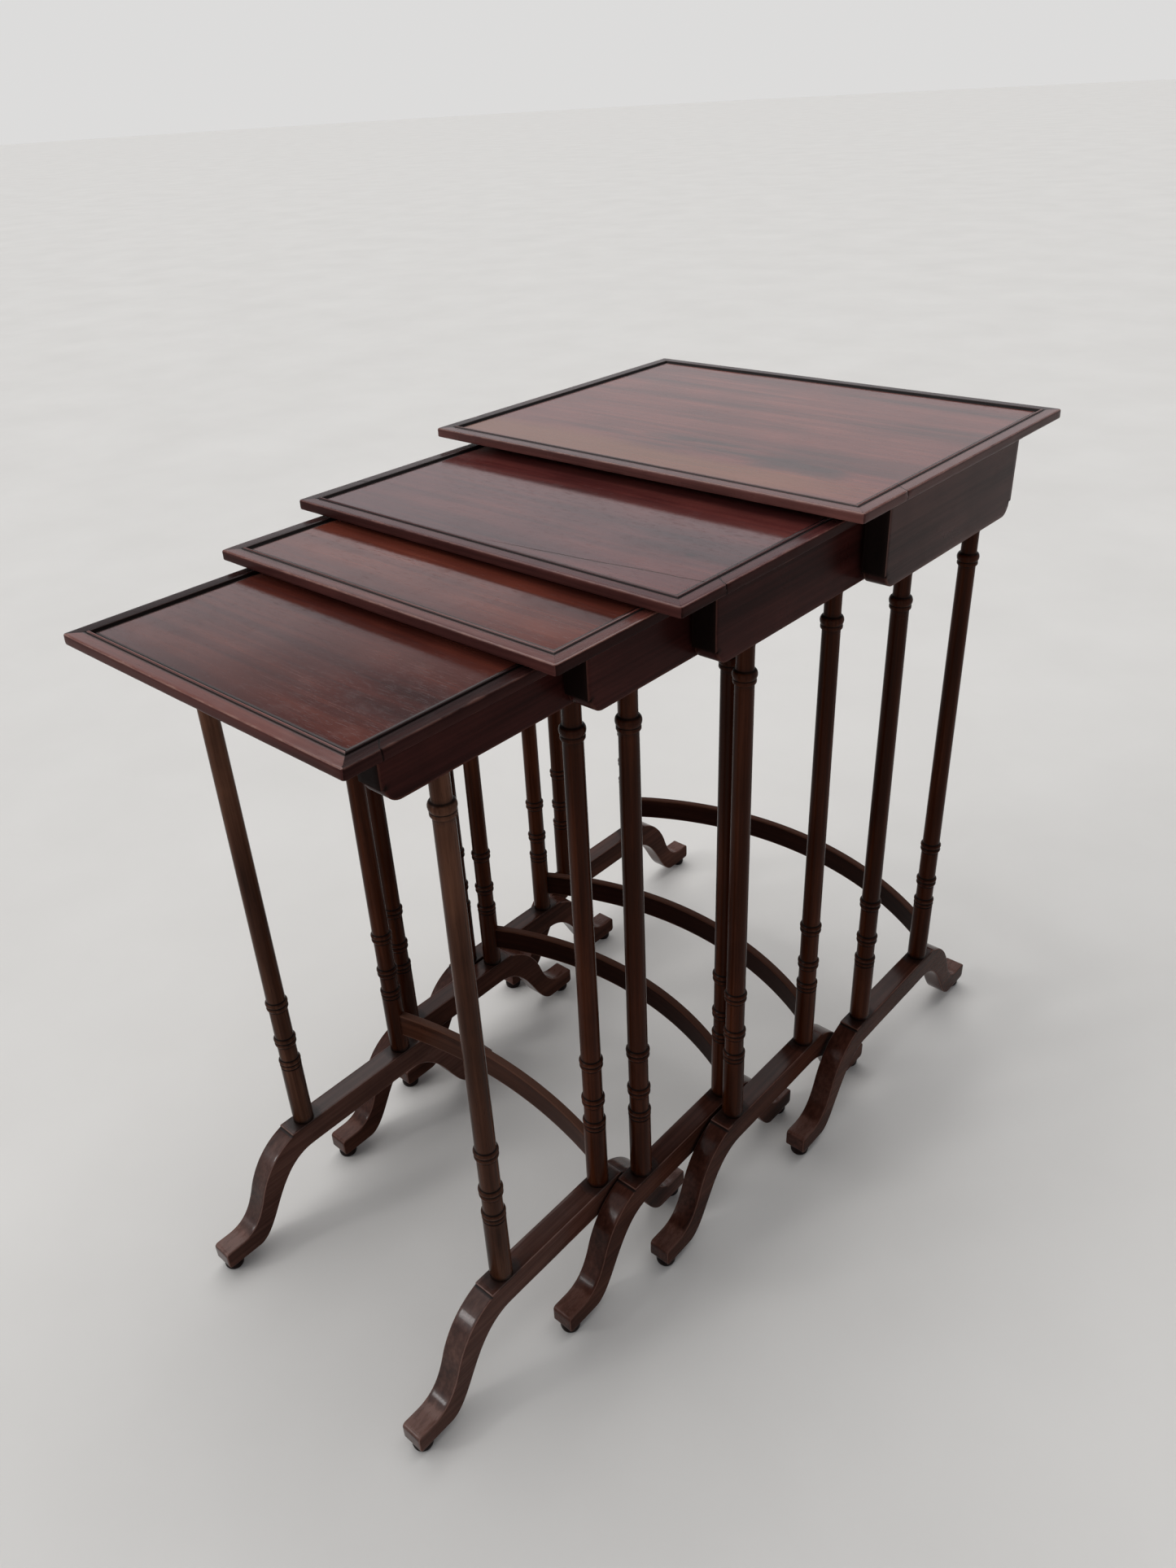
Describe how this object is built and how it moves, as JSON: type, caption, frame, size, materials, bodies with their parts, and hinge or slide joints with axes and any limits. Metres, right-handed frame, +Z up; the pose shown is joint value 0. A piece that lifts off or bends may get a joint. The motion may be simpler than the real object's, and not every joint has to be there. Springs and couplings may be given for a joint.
{
  "type": "nesting tables",
  "caption": "Nest of rectangular side tables with beaded tops, ringed turned legs, sweeping trestle feet and bowed rear stretchers, sliding out of one another.",
  "frame": {"origin": "middle of the footprint, on the floor, with the nest pulled out as modelled", "axes": "+Z up, -Y to the front (the way the tables pull out), +X to the right seen from the front"},
  "size_m": [0.481, 0.8558, 0.721],
  "materials": {
    "top": "french polished mahogany, glossy",
    "edging": "french polished mahogany, worn arrises",
    "apron": "dark polished mahogany",
    "leg": "dark polished mahogany, rubbed on the shafts",
    "trestle": "dark polished mahogany, worn upper arrises",
    "stretcher": "very dark polished mahogany",
    "pad": "blackened mahogany"
  },
  "bodies": {
    "table_1": {"table_1_top": "top", "table_1_edging": "edging", "table_1_apron_left": "apron", "table_1_trestle_left": "trestle", "table_1_leg_front_left": "leg", "table_1_pad_front_left": "pad", "table_1_leg_rear_left": "leg", "table_1_pad_rear_left": "pad", "table_1_apron_right": "apron", "table_1_trestle_right": "trestle", "table_1_leg_front_right": "leg", "table_1_pad_front_right": "pad", "table_1_leg_rear_right": "leg", "table_1_pad_rear_right": "pad", "table_1_stretcher": "stretcher"},
    "table_2": {"table_2_top": "top", "table_2_edging": "edging", "table_2_apron_left": "apron", "table_2_trestle_left": "trestle", "table_2_leg_front_left": "leg", "table_2_pad_front_left": "pad", "table_2_leg_rear_left": "leg", "table_2_pad_rear_left": "pad", "table_2_apron_right": "apron", "table_2_trestle_right": "trestle", "table_2_leg_front_right": "leg", "table_2_pad_front_right": "pad", "table_2_leg_rear_right": "leg", "table_2_pad_rear_right": "pad", "table_2_stretcher": "stretcher"},
    "table_3": {"table_3_top": "top", "table_3_edging": "edging", "table_3_apron_left": "apron", "table_3_trestle_left": "trestle", "table_3_leg_front_left": "leg", "table_3_pad_front_left": "pad", "table_3_leg_rear_left": "leg", "table_3_pad_rear_left": "pad", "table_3_apron_right": "apron", "table_3_trestle_right": "trestle", "table_3_leg_front_right": "leg", "table_3_pad_front_right": "pad", "table_3_leg_rear_right": "leg", "table_3_pad_rear_right": "pad", "table_3_stretcher": "stretcher"},
    "table_4": {"table_4_top": "top", "table_4_edging": "edging", "table_4_apron_left": "apron", "table_4_trestle_left": "trestle", "table_4_leg_front_left": "leg", "table_4_pad_front_left": "pad", "table_4_leg_rear_left": "leg", "table_4_pad_rear_left": "pad", "table_4_apron_right": "apron", "table_4_trestle_right": "trestle", "table_4_leg_front_right": "leg", "table_4_pad_front_right": "pad", "table_4_leg_rear_right": "leg", "table_4_pad_rear_right": "pad", "table_4_stretcher": "stretcher"}
  },
  "joints": [
    {"name": "table_2_slide", "type": "slide", "parent": "table_1", "child": "table_2", "axis": [0, -1, 0], "range_m": [-0.196, 0.17]},
    {"name": "table_3_slide", "type": "slide", "parent": "table_2", "child": "table_3", "axis": [0, -1, 0], "range_m": [-0.108, 0.235]},
    {"name": "table_4_slide", "type": "slide", "parent": "table_3", "child": "table_4", "axis": [0, -1, 0], "range_m": [-0.16, 0.16]}
  ]
}
